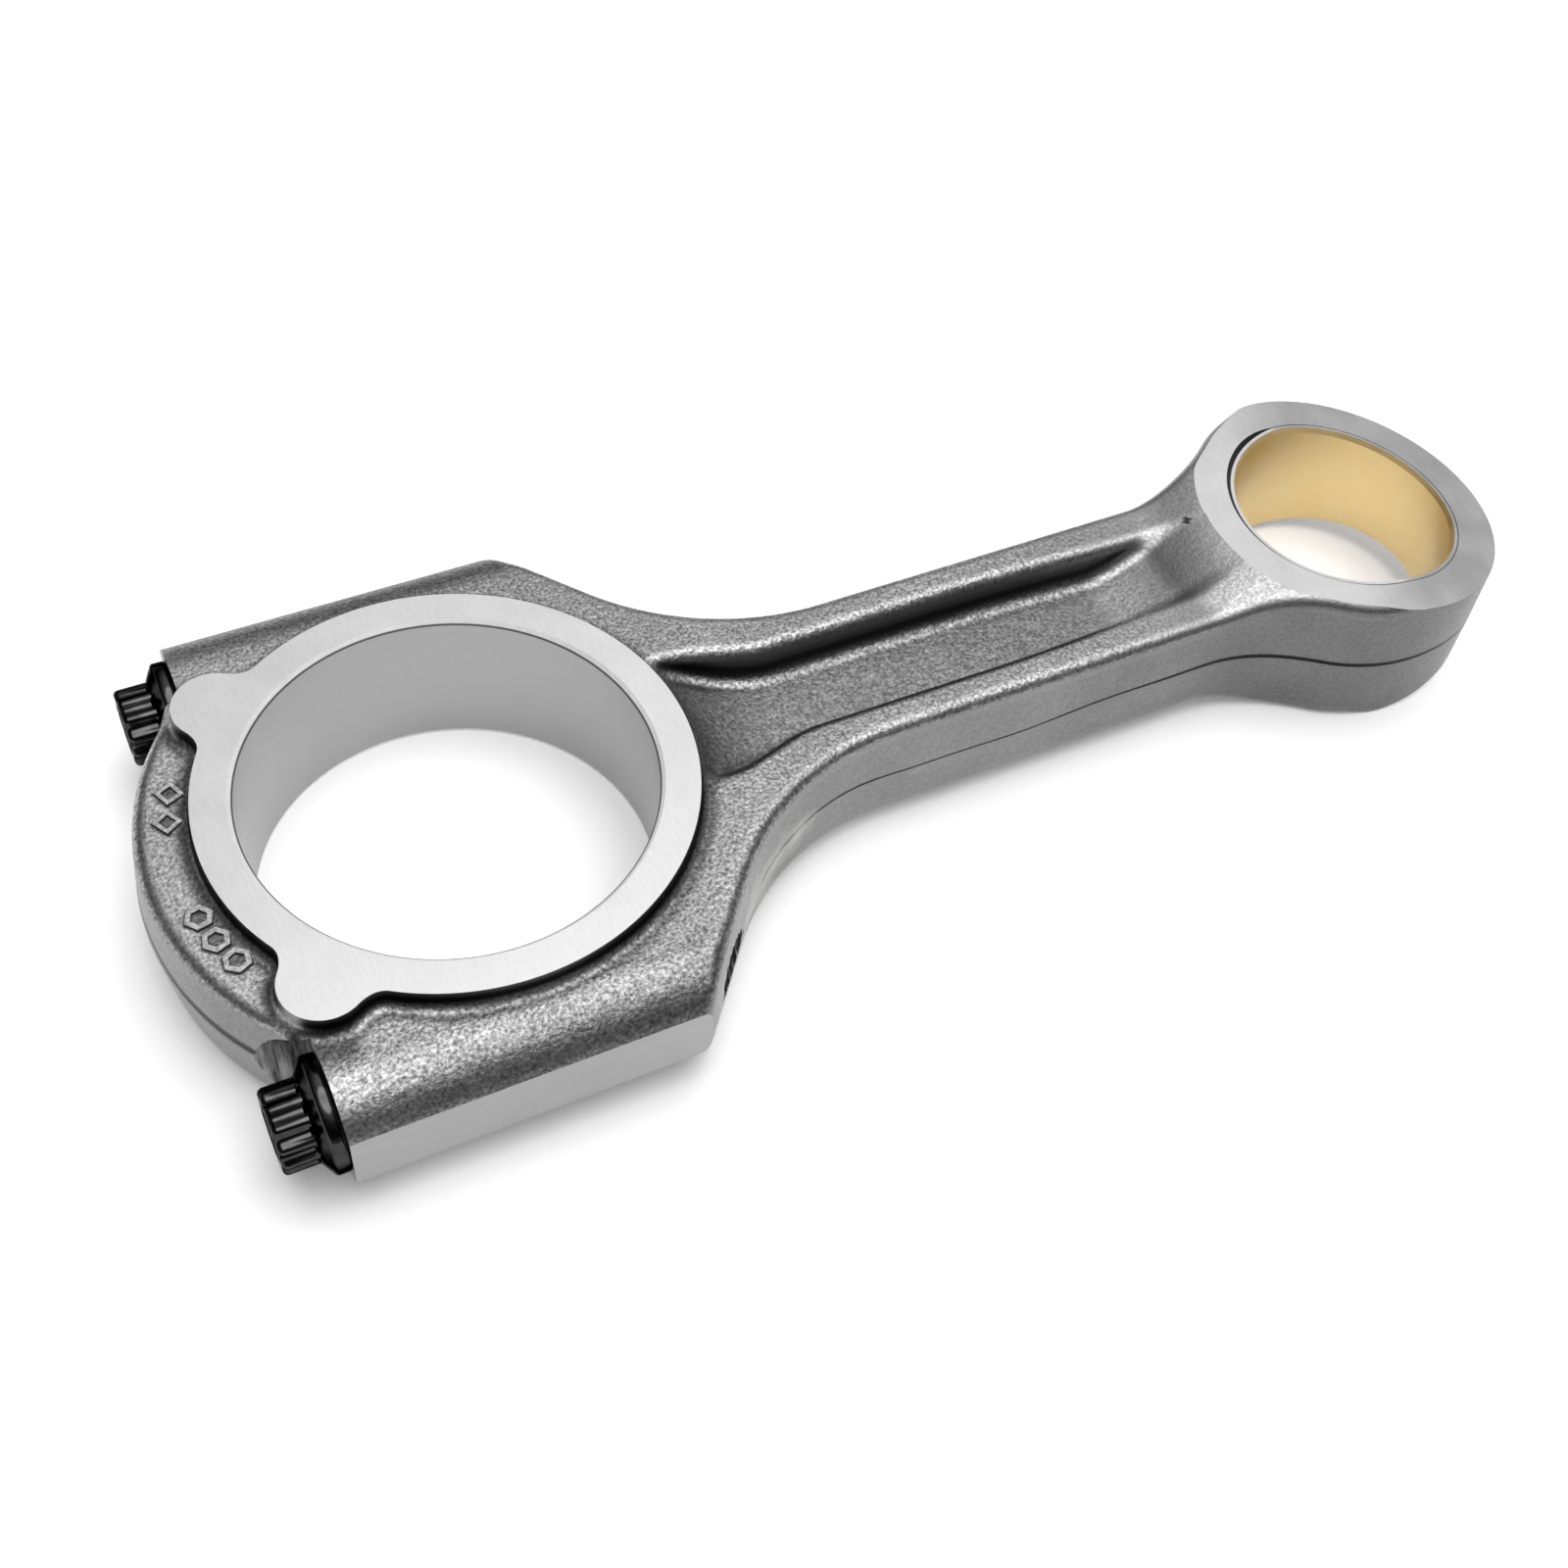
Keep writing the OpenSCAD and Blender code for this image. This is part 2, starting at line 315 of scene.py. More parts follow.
def forged_blank(material):
    """The forging as one closed mesh of even quads. A quarter is sampled and mirrored twice."""
    margin = 3
    x = np.arange(-CAP_R - margin, PIN_X + EYE_R + margin, VOXEL)
    y = np.arange(VOXEL / 2, FLAT_Y + 2 * margin, VOXEL)
    z = np.arange(VOXEL / 2, FACE_Z + 2 * margin, VOXEL)
    quarter = forging(x[:, None, None], y[None, :, None], z[None, None, :]).astype(np.float32)
    half = np.concatenate([quarter[:, ::-1], quarter], axis=1)
    whole = np.concatenate([half[:, :, ::-1], half], axis=2)
    grid = openvdb.FloatGrid()
    grid.background = 10.0
    grid.copyFromArray(np.ascontiguousarray(whole))
    points, triangles, quads = grid.convertToPolygons(isovalue=0.0)
    start = np.array([x[0], -y[-1], -z[-1]])
    points = settle(points.astype(float) * VOXEL + start, forging)
    return mesh_object("forged_blank", points, quads.tolist() + triangles.tolist(), material)


# ---------------------------------------------------------------- cutting tools
def tube_of(name, rings, *materials):
    """A closed solid from rings of points, with a flat cap at both ends."""
    segments = len(rings[0])
    verts = [point for ring in rings for point in ring]
    faces = []
    for k in range(len(rings) - 1):
        for i in range(segments):
            j = (i + 1) % segments
            a, b = k * segments, (k + 1) * segments
            faces.append((a + i, a + j, b + j, b + i))
    faces.append(range(segments - 1, -1, -1))
    faces.append([(len(rings) - 1) * segments + i for i in range(segments)])
    return mesh_object(name, verts, faces, *materials)


def turns_of(segments):
    """The angles of that many points evenly round a circle."""
    return [2 * math.pi * i / segments for i in range(segments)]


def lathe(name, profile, material, axis="Z", at=(0, 0, 0), segments=256):
    """A closed solid turned from (radius, height) points that start and end on its axis."""
    rings = [[(radius * math.cos(turn), radius * math.sin(turn), height) for turn in turns_of(segments)]
             for radius, height in profile[1:-1]]
    made = tube_of(name, rings, material)
    if axis == "X":
        made.data.transform(Matrix.Rotation(math.pi / 2, 4, "Y"))
    made.data.transform(Matrix.Translation(Vector(at) * MM))
    return made


def combine(target, tool, operation="DIFFERENCE"):
    """Cuts, joins or crosses target with tool, and removes the tool."""
    modifier = target.modifiers.new("combine", "BOOLEAN")
    modifier.operation = operation
    modifier.solver = "MANIFOLD"
    modifier.material_mode = "TRANSFER"
    modifier.object = tool
    view = bpy.context.evaluated_depsgraph_get()
    mesh = bpy.data.meshes.new_from_object(target.evaluated_get(view))
    target.modifiers.clear()
    old = target.data
    target.data = mesh
    bpy.data.meshes.remove(old)
    bpy.data.meshes.remove(tool.data)


def slab(name, profile, half_y, face_material, side_material):
    """A solid cut from a plate: profile holds (x, z) points, and it reaches half_y to each side."""
    count = len(profile)
    verts = [(x, -half_y, z) for x, z in profile] + [(x, half_y, z) for x, z in profile]
    faces = [tuple(range(count)), tuple(range(2 * count - 1, count - 1, -1))]
    faces += [(i, i + count, (i + 1) % count + count, (i + 1) % count) for i in range(count)]
    made = mesh_object(name, verts, faces, face_material, side_material)
    for face in made.data.polygons:
        face.material_index = 1 if face.index < 2 else 0
    return made


def keystone_z(x, face_z=FACE_Z):
    """Height of the small end's machined face at x: flat, then bending down towards the tip."""
    past = x - KEYSTONE_X
    bend = np.clip(past + KEYSTONE_BEND, 0, 2 * KEYSTONE_BEND)
    drop = bend ** 2 / (4 * KEYSTONE_BEND) + np.maximum(past - KEYSTONE_BEND, 0)
    return np.minimum(face_z, FACE_Z - drop * KEYSTONE)


def bore_tool(name, x, radius, chamfer, material, chamfer_material):
    """A through bore along Z with a chamfer at both faces."""
    reach = 4
    half = [(radius, FACE_Z - chamfer), (radius + chamfer + reach, FACE_Z + reach)]
    mirrored = [(r, -height) for r, height in reversed(half)]
    profile = [(0, -FACE_Z - reach), *mirrored, *half, (0, FACE_Z + reach)]
    tool = lathe(name, profile, material, at=(x, 0, 0))
    tool.data.materials.append(chamfer_material)
    for face in tool.data.polygons:
        face.material_index = 1 if abs(face.center.z) > (FACE_Z - chamfer) * MM else 0
    return tool


def thread_rings(start, end, radius, taper_in, taper_out, segments=48):
    """Rings of points along X for a right-hand thread whose crests are at radius. It deepens over
    taper_in from the start, and grows shallow again over taper_out at the end."""
    depth = 0.6 * THREAD_PITCH
    rings_per_turn = 10
    count = int((end - start) / THREAD_PITCH * rings_per_turn)
    rings = []
    for k in range(count + 1):
        x = start + (end - start) * k / count
        fade = min(1, (x - start) / taper_in, (end - x) / taper_out + 0.35)
        ring = []
        for turn in turns_of(segments):
            wave = abs(((x / THREAD_PITCH - turn / (2 * math.pi)) % 1) * 2 - 1)
            crest = min(1, max(0, wave * 1.35 - 0.15))
            r = radius - depth * fade * (1 - crest)
            ring.append((x, r * math.cos(turn), r * math.sin(turn)))
        rings.append(ring)
    return rings


# ---------------------------------------------------------------- materials
def node_material(name):
    """A new material, its node tree and its shader."""
    material = bpy.data.materials.new(name)
    material.use_nodes = True
    tree = material.node_tree
    return material, tree, tree.nodes["Principled BSDF"]


def add(tree, kind, inputs=(), **values):
    """A node with its settings, then its inputs: each a socket to link or a value to set."""
    node = tree.nodes.new(kind)
    for key, value in values.items():
        setattr(node, key, value)
    for key, value in dict(inputs).items():
        if isinstance(value, bpy.types.NodeSocket):
            tree.links.new(value, node.inputs[key])
        else:
            node.inputs[key].default_value = value
    return node


def ramp(tree, factor, stops):
    """A colour ramp whose stops are (position, grey or colour)."""
    node = add(tree, "ShaderNodeValToRGB", {"Fac": factor})
    elements = node.color_ramp.elements
    while len(elements) < len(stops):
        elements.new(0.5)
    for element, (place, colour) in zip(elements, stops):
        element.position = place
        element.color = (*colour, 1) if isinstance(colour, tuple) else (colour, colour, colour, 1)
    return node.outputs["Color"]


def place_of(tree):
    """Object coordinates, in metres in the rod's own frame."""
    return add(tree, "ShaderNodeTexCoord").outputs["Object"]


def part_of(tree, vector, axis):
    """One coordinate of a vector."""
    return add(tree, "ShaderNodeSeparateXYZ", {"Vector": vector}).outputs[axis]


def stretched(tree, place, scale, turn=(0, 0, 0)):
    """Coordinates turned and scaled along each axis."""
    settings = {"Vector": place, "Scale": scale, "Rotation": turn}
    return add(tree, "ShaderNodeMapping", settings).outputs["Vector"]


def grain(tree, place, scale, detail=2.0, roughness=0.5):
    """Soft noise of that scale per metre."""
    settings = {"Vector": place, "Scale": scale, "Detail": detail, "Roughness": roughness}
    return add(tree, "ShaderNodeTexNoise", settings).outputs["Fac"]


def turned_lines(tree, place, scale):
    """Fine lines that run round a bore: noise that changes only along it."""
    upward = add(tree, "ShaderNodeCombineXYZ", {"Z": part_of(tree, place, "Z")}).outputs["Vector"]
    return grain(tree, upward, scale)


def mix(tree, factor, a, b, blend="MIX"):
    """Two colours mixed."""
    node = add(tree, "ShaderNodeMix", data_type="RGBA", blend_type=blend)
    for key, value in (("Factor", factor), ("A", a), ("B", b)):
        socket = [s for s in node.inputs if s.name == key and s.enabled][0]
        if isinstance(value, bpy.types.NodeSocket):
            tree.links.new(value, socket)
        else:
            socket.default_value = value if key == "Factor" else (*value, 1)
    return [s for s in node.outputs if s.enabled][0]


def darkened(tree, colour, *shades):
    """A colour multiplied by each of the shades."""
    for shade in shades:
        colour = mix(tree, 1.0, colour, shade, "MULTIPLY")
    return colour


def bump(tree, height, distance, strength=1.0, normal=None):
    """A bump of that height in metres."""
    inputs = {"Height": height, "Distance": distance, "Strength": strength}
    if normal is not None:
        inputs["Normal"] = normal
    return add(tree, "ShaderNodeBump", inputs).outputs["Normal"]


def attribute(tree, name):
    """A value stored on the mesh's points."""
    return add(tree, "ShaderNodeAttribute", attribute_name=name).outputs["Fac"]


def math_node(tree, operation, a, b=0.0, c=0.0):
    """One sum on sockets or numbers."""
    return add(tree, "ShaderNodeMath", {0: a, 1: b, 2: c}, operation=operation).outputs["Value"]


def times(tree, *values):
    """The product of sockets or numbers."""
    product = values[0]
    for value in values[1:]:
        product = math_node(tree, "MULTIPLY", product, value)
    return product


# the parting line, in metres: how far it waves up and down, and how much higher it is on the cap
LINE_WAVE = 0.0045
LINE_RISE = 0.0022
LINE_HALF_HEIGHT = 0.0012

# the trimmed flash, in metres: how far it reaches from its middle, which lies below the line
FLASH_HALF_HEIGHT = 0.011
FLASH_DROP = 0.0022


def band(tree, place, half_height):
    """How far a point is from the wavy line where the two dies met: 1 at that half height."""
    wave = grain(tree, place, 22, 1.0)
    on_cap = ramp(tree, times(tree, part_of(tree, place, "X"), -20.0), [(0.5, 0.0), (0.85, 1.0)])
    height = math_node(tree, "MULTIPLY_ADD", wave, -LINE_WAVE, part_of(tree, place, "Z"))
    height = math_node(tree, "MULTIPLY_ADD", on_cap, -LINE_RISE, height)
    away = math_node(tree, "ABSOLUTE", math_node(tree, "ADD", height, LINE_WAVE / 2))
    return times(tree, away, 1 / half_height)


def forged_steel():
    """Shot-blasted forged steel: a fine speckle on the faces that the dies struck, smoother sides
    with the parting line and its trimmed flash, painted shade in the hollows and lightened edges."""
    material, tree, shader = node_material("forged_steel")
    place = place_of(tree)
    normal = add(tree, "ShaderNodeNewGeometry").outputs["Normal"]
    upright = math_node(tree, "ABSOLUTE", part_of(tree, normal, "Z"))
    struck = ramp(tree, upright, [(0.25, 0.0), (0.6, 1.0)])
    along = part_of(tree, place, "X")
    reach = times(tree, along, 5.0)
    peen = grain(tree, place, 1500, 3.0, 0.65)
    patches = grain(tree, place, 60, 3.0)
    trimmed = flash_mask(tree, place, struck)
    colour = forged_colour(tree, place, struck, along, reach, peen, patches)
    colour = mix(tree, trimmed, colour, (0.44, 0.435, 0.42))
    bold = ramp(tree, reach, [(0.0, 1.0), (0.15, 0.3), (0.65, 0.3), (0.8, 0.6)])
    away = math_node(tree, "DIVIDE", band(tree, place, LINE_HALF_HEIGHT), bold)
    # the parting line is a slight groove with a dark line painted along it, painted shade under the lip
    # where the dies met; the trimmed flash has no dark line
    groove = ramp(tree, away, [(0.40, 0.0), (0.85, 1.0)])
    dark_line = ramp(tree, away, [(0.40, 0.06), (0.85, 1.0)])
    dark_line = mix(tree, trimmed, dark_line, (1.0, 1.0, 1.0))
    tree.links.new(darkened(tree, colour, dark_line), shader.inputs["Base Color"])
    tree.links.new(ramp(tree, peen, [(0.3, 0.44), (0.7, 0.32)]), shader.inputs["Roughness"])
    shader.inputs["Metallic"].default_value = 0.94
    relief = bump(tree, patches, 0.0003, 0.5)
    relief = bump(tree, groove, 0.00025, 0.7, relief)
    relief = forged_relief(tree, place, struck, along, reach, peen, relief)
    tree.links.new(relief, shader.inputs["Normal"])
    return material


def forged_colour(tree, place, struck, along, reach, peen, patches):
    """The forging's colour without its parting line and flash. along is in metres from the big end's
    bore, and reach is the same distance in steps of 200 mm."""
    speckle = ramp(tree, peen, [(0.32, 0.14), (0.5, 0.39), (0.70, 0.74)])
    even = ramp(tree, reach, [(0.62, 0.0), (0.74, 0.6)])
    speckle = mix(tree, even, speckle, (0.40, 0.40, 0.40))
    smooth = ramp(tree, peen, [(0.30, 0.21), (0.70, 0.29)])
    smooth = darkened(tree, smooth, ramp(tree, reach, [(0.55, 1.0), (0.85, 0.72)]))
    by_patches = ramp(tree, patches, [(0.3, 0.84), (0.7, 1.0)])
    on_rod = ramp(tree, math_node(tree, "MULTIPLY_ADD", along, 10.0, 0.5), [(0.1, 1.0), (0.5, 0.77)])
    # painted shade: the struck faces out beside the bolts are darkened, dulling their highlight and shaded
    # band
    outward = times(tree, math_node(tree, "ABSOLUTE", part_of(tree, place, "Y")), 10.0)
    painted_shade_by_bolts = ramp(tree, outward, [(0.42, 1.0), (0.49, 0.62)])
    colour = darkened(tree, mix(tree, struck, smooth, speckle), by_patches)
    for shade in (on_rod, painted_shade_by_bolts):
        colour = darkened(tree, colour, mix(tree, struck, (1.0, 1.0, 1.0), shade))
    # painted shade in the hollows, at the marks' feet, in the painted patches and on walls shut in by a
    # neighbouring face
    hollow = ramp(tree, attribute(tree, "hollow"), [(0.03, 1.0), (0.17, 0.35), (0.40, 0.05)])
    shut_in_shade = ramp(tree, attribute(tree, "shut_in_shade"), [(0.08, 1.0), (0.30, 0.20), (0.50, 0.02)])
    colour = darkened(tree, colour, hollow, shut_in_shade)
    # edges that stand out are lightened: partly wear, partly painted highlight
    crown_wear_and_highlight = ramp(tree, attribute(tree, "crown_wear_and_highlight"), [(0.05, 0.0), (0.35, 1.0)])
    return mix(tree, times(tree, crown_wear_and_highlight, 0.30), colour, (0.60, 0.60, 0.59))


def forged_relief(tree, place, struck, along, reach, peen, relief):
    """The blasted skin's relief on top of another: full on the struck faces round the bore, gentler
    on the cap's far side and towards the small end, and faint on the sides."""
    blobs = grain(tree, place, 500, 2.0, 0.5)
    on_rod = ramp(tree, math_node(tree, "MULTIPLY_ADD", along, 20.0, 1.0), [(0.15, 0.3), (0.4, 1.0)])
    finer = ramp(tree, reach, [(0.60, 1.0), (0.72, 0.35)])
    rough = times(tree, on_rod, finer, struck)
    relief = bump(tree, blobs, 0.00028, times(tree, rough, 0.50), relief)
    return bump(tree, peen, 0.00015, math_node(tree, "MULTIPLY_ADD", rough, 0.55, 0.15), relief)


def flash_mask(tree, place, struck):
    """Where the flash was sheared off: bright ragged patches on the shoulders' hollow sides."""
    ragged = grain(tree, stretched(tree, place, (130, 130, 200)), 1.0, 3.0)
    along = math_node(tree, "MULTIPLY_ADD", part_of(tree, place, "X"), 20.0, -0.55)
    near = ramp(tree, along, [(0.0, 0.9), (0.60, 0.78), (0.78, 0.0)])
    past_flats = ramp(tree, along, [(0.0, 0.0), (0.06, 1.0)])
    raised = add(tree, "ShaderNodeVectorMath", {0: place, 1: (0.0, 0.0, FLASH_DROP)}, operation="ADD")
    height = band(tree, raised.outputs["Vector"], FLASH_HALF_HEIGHT)
    reach = math_node(tree, "SUBTRACT", near, height)
    patch = math_node(tree, "MULTIPLY_ADD", ragged, 1.6, math_node(tree, "ADD", reach, -1.0))
    mask = ramp(tree, patch, [(0.0, 0.0), (0.75, 1.0)])
    sides = math_node(tree, "SUBTRACT", 1.0, struck)
    return times(tree, mask, sides, past_flats)


def machined_steel(name, tone, roughness, scale=None, turn=(0, 0, 0), relief=0.00002,
                   depth=0.07, metallic=0.95, dark_edge_line=False):
    """Cut or ground steel with fine tool lines. scale stretches the lines along the tool's path;
    without it they run round a bore. depth is how much darker the lines are. The last argument
    paints a thin dark line on the inner edge of the big end's chamfer."""
    material, tree, shader = node_material(name)
    place = place_of(tree)
    if scale is None:
        lines = turned_lines(tree, place, 9000)
    else:
        lines = grain(tree, stretched(tree, place, scale, turn), 1.0, 3.0, 0.6)
    clouds = grain(tree, place, 90, 4.0, 0.55)
    colour = ramp(tree, lines, [(0.35, tone * (1 - depth)), (0.65, tone)])
    colour = darkened(tree, colour, ramp(tree, clouds, [(0.3, 0.93), (0.7, 1.0)]))
    if dark_edge_line:
        height = math_node(tree, "ABSOLUTE", part_of(tree, place, "Z"))
        share = times(tree, height, 1 / (FACE_Z * MM))
        dark_edge_z = FACE_Z - HOUSING_CHAMFER + 0.23
        past_edge_z = dark_edge_z + 0.11
        stops = [(dark_edge_z / FACE_Z, 0.12), (past_edge_z / FACE_Z, 1.0)]
        colour = darkened(tree, colour, ramp(tree, share, stops))
    tree.links.new(colour, shader.inputs["Base Color"])
    matt = ramp(tree, clouds, [(0.3, roughness * 0.9), (0.7, roughness * 1.15)])
    tree.links.new(matt, shader.inputs["Roughness"])
    shader.inputs["Metallic"].default_value = metallic
    tree.links.new(bump(tree, lines, relief, 0.5), shader.inputs["Normal"])
    return material


def black_oxide():
    """The bolts' glossy black finish, a little uneven."""
    material, tree, shader = node_material("black_oxide")
    place = place_of(tree)
    clouds = grain(tree, place, 400, 3.0)
    tree.links.new(ramp(tree, clouds, [(0.3, 0.035), (0.7, 0.065)]), shader.inputs["Base Color"])
    tree.links.new(ramp(tree, clouds, [(0.3, 0.08), (0.7, 0.16)]), shader.inputs["Roughness"])
    shader.inputs["Metallic"].default_value = 1.0
    shader.inputs["Specular Tint"].default_value = (0.25, 0.25, 0.25, 1)
    tree.links.new(bump(tree, clouds, 0.00003, 0.4), shader.inputs["Normal"])
    return material


def bush_bronze(name, brightness, roughness):
    """Satin bronze with fine turned lines, for the bush's lining and, as a brighter copy that is painted
    highlight, its edges.
    """
    material, tree, shader = node_material(name)
    place = place_of(tree)
    lines = turned_lines(tree, place, 7000)
    clouds = grain(tree, place, 120, 3.0)
    colour = mix(tree, clouds, (0.645, 0.470, 0.215), (0.725, 0.600, 0.335))
    colour = darkened(tree, colour, (brightness, brightness, brightness))
    tree.links.new(colour, shader.inputs["Base Color"])
    satin = ramp(tree, clouds, [(0.3, roughness), (0.7, roughness * 1.3)])
    tree.links.new(satin, shader.inputs["Roughness"])
    shader.inputs["Metallic"].default_value = 1.0
    tree.links.new(bump(tree, lines, 0.000015, 0.4), shader.inputs["Normal"])
    return material


def floor_paper():
    """The pale plain sheet that the rod lies on."""
    material, tree, shader = node_material("floor_paper")
    clouds = grain(tree, place_of(tree), 3, 2.0)
    tree.links.new(ramp(tree, clouds, [(0.3, 0.94), (0.7, 0.96)]), shader.inputs["Base Color"])
    shader.inputs["Roughness"].default_value = 0.9
    shader.inputs["Emission Color"].default_value = (1, 1, 1, 1)
    shader.inputs["Emission Strength"].default_value = 0.17
    return material


FORGED = forged_steel()
GROUND = machined_steel("ground_face", 0.67, 0.43, (2500, 250, 250), (0, 0, math.radians(20)))
BORED = machined_steel("bored_wall", 0.445, 0.34, depth=0.22)
MILLED = machined_steel("milled_face", 0.37, 0.32, (150, 3000, 3000))
SPOT = machined_steel("spot_face", 0.55, 0.34, (1300, 90, 90), relief=0.0002, depth=0.9)
# near black: painted shade on the bush housing's chamfer and wall, in the shadowed gap above the bush's end
SHADED = machined_steel("housing_chamfer", 0.06, 0.45, (800, 800, 800))
# dark: painted shade inside the tapped holes and the cap's bolt holes
THREAD = machined_steel("thread_steel_painted_shade", 0.16, 0.40, (800, 800, 800))
BACKING = machined_steel("bush_backing", 0.66, 0.43, (600, 600, 600))
# pale and almost non-metallic: a painted highlight for the bright band that the big end's chamfer reflects
CHAMFER = machined_steel("bore_chamfer_painted_highlight", 0.90, 0.60, (600, 600, 600), metallic=0.1,
                         dark_edge_line=True)
BRONZE = bush_bronze("bush_bronze", 1.0, 0.27)
# a brighter copy of the bronze on the bush's chamfers: painted highlight
BRONZE_EDGE = bush_bronze("bush_edge_painted_highlight", 1.3, 0.5)
BLACK = black_oxide()


# ---------------------------------------------------------------- the rod and the cap
def finish_shading(piece, angle=math.radians(28), flat=None):
    """Smooth faces with sharp edges where the surface turns or its finish changes. Faces of the
    material numbered flat stay flat."""
    mesh = piece.data
    mesh.shade_smooth()
    form = bmesh.new()
    form.from_mesh(mesh)
    for edge in form.edges:
        if len(edge.link_faces) == 2:
            a, b = edge.link_faces
            turned = edge.calc_face_angle(0) > angle or a.material_index == flat
            edge.smooth = not (turned or a.material_index != b.material_index)
    form.to_mesh(mesh)
    form.free()


def machined_envelope(name, x_from, x_to):
    """What the machining leaves between two planes across the rod: faces, side flats and bore."""
    stations = [x_from, x_to]
    if x_to > KEYSTONE_X:
        bends = np.linspace(KEYSTONE_X - KEYSTONE_BEND, KEYSTONE_X + KEYSTONE_BEND, 13)
        stations = [x_from, *bends, x_to]
    top = [(x, float(keystone_z(x))) for x in stations]
    profile = [(x, -z) for x, z in top] + list(reversed(top))
    envelope = slab(name, profile, FLAT_Y, GROUND, MILLED)
    combine(envelope, bore_tool("housing", 0, HOUSING_R, HOUSING_CHAMFER, BORED, CHAMFER))
    return envelope


def shifted(rings, y):
    """Rings of points moved along Y."""
    return [[(point[0], point[1] + y, point[2]) for point in ring] for ring in rings]


def rod_piece(blank):
    """The forged and machined rod."""
    envelope = machined_envelope("rod_envelope", 0, PIN_X + EYE_R + 5)
    housing = bore_tool("bush_housing", PIN_X, BUSH_R, BUSH_HOUSING_CHAMFER, SHADED, SHADED)
    combine(envelope, housing)
    thread = thread_rings(-1, TAPPED_DEPTH, THREAD_R + THREAD_GAP, 0.1, 0.1)
    for side in (-1, 1):
        combine(envelope, tube_of("tapped_hole", shifted(thread, side * BOLT_Y), THREAD))
    combine(envelope, blank, "INTERSECT")
    envelope.name = "rod_forging"
    return envelope


def cap_piece(blank):
    """The forged and machined bearing cap."""
    add_marks(blank)
    envelope = machined_envelope("cap_envelope", -CAP_R - 4, 0)
    outside = -CAP_R - 5
    seat = [(0, outside), (SPOT_FACE_R, outside), (SPOT_FACE_R, SEAT_X), (0, SEAT_X)]
    hole = [(0, outside), (CAP_HOLE_R, outside), (CAP_HOLE_R, 5), (0, 5)]
    for side in (-1, 1):
        at = (0, side * BOLT_Y, 0)
        combine(envelope, lathe("spot_face", seat, SPOT, "X", at, 128))
        combine(envelope, lathe("bolt_hole", hole, THREAD, "X", at, 64))
    combine(envelope, blank, "INTERSECT")
    envelope.name = "cap_forging"
    return envelope


def mark_centre(degrees):
    """Where on the cap the mark at that angle stands."""
    angle = math.radians(degrees)
    return MARK_RING_R * math.cos(angle), MARK_RING_R * math.sin(angle)


def mark_foot_shade(points):
    """How much painted shade darkens the foot of the raised marks, and 0 elsewhere."""
    dark = np.zeros(len(points))
    for degrees, corners in MARKS:
        x, y = mark_centre(degrees)
        away = np.hypot(points[:, 0] - x, points[:, 1] - y)
        low = np.abs(points[:, 2] - LEVEL) < 0.14
        close = (away < MARK_R + 0.7) & (away > MARK_R * 0.3)
        at_foot = off_mark(points, degrees, corners) < 0.3
        dark = np.maximum(dark, 0.17 * (close & low & at_foot))
    return dark


def off_mark(points, degrees, corners):
    """Distance in the cap's face from the edges of one mark's stroke."""
    x, y = mark_centre(degrees)
    turn = np.arctan2(points[:, 1] - y, points[:, 0] - x) - math.radians(degrees)
    part = 2 * math.pi / corners
    folded = (turn + part / 2) % part - part / 2
    inner = math.cos(math.pi / corners) / np.cos(np.abs(folded) - math.pi / corners)
    away = np.hypot(points[:, 0] - x, points[:, 1] - y)
    middle = (MARK_R - MARK_STROKE / 2) * inner
    return np.abs(np.abs(away - middle) - MARK_STROKE / 2)


def add_marks(blank):
    """Plain raised diamonds and hexagons on the cap, in the places of its forging marks."""
    top = LEVEL + MARK_HEIGHT
    inner = MARK_R - MARK_STROKE
    outside = [(0, LEVEL - 1), (MARK_R + 0.15, LEVEL - 1), (MARK_R, LEVEL + 0.1), (MARK_R - 0.2, top),
               (0, top)]
    inside = [(0, LEVEL), (inner - 0.15, LEVEL), (inner + 0.1, LEVEL + 1), (0, LEVEL + 1)]
    for degrees, corners in MARKS:
        x, y = mark_centre(degrees)
        for name, profile, operation in (("mark", outside, "UNION"), ("mark_inside", inside, "DIFFERENCE")):
            tool = lathe(name, profile, FORGED, segments=corners)
            tool.data.transform(Matrix.Rotation(math.radians(degrees), 4, "Z"))
            tool.data.transform(Matrix.Translation(Vector((x, y, 0)) * MM))
            combine(blank, tool, operation)


def copy_of(piece):
    """A second object with its own mesh."""
    made = piece.copy()
    made.data = piece.data.copy()
    bpy.context.scene.collection.objects.link(made)
    return made


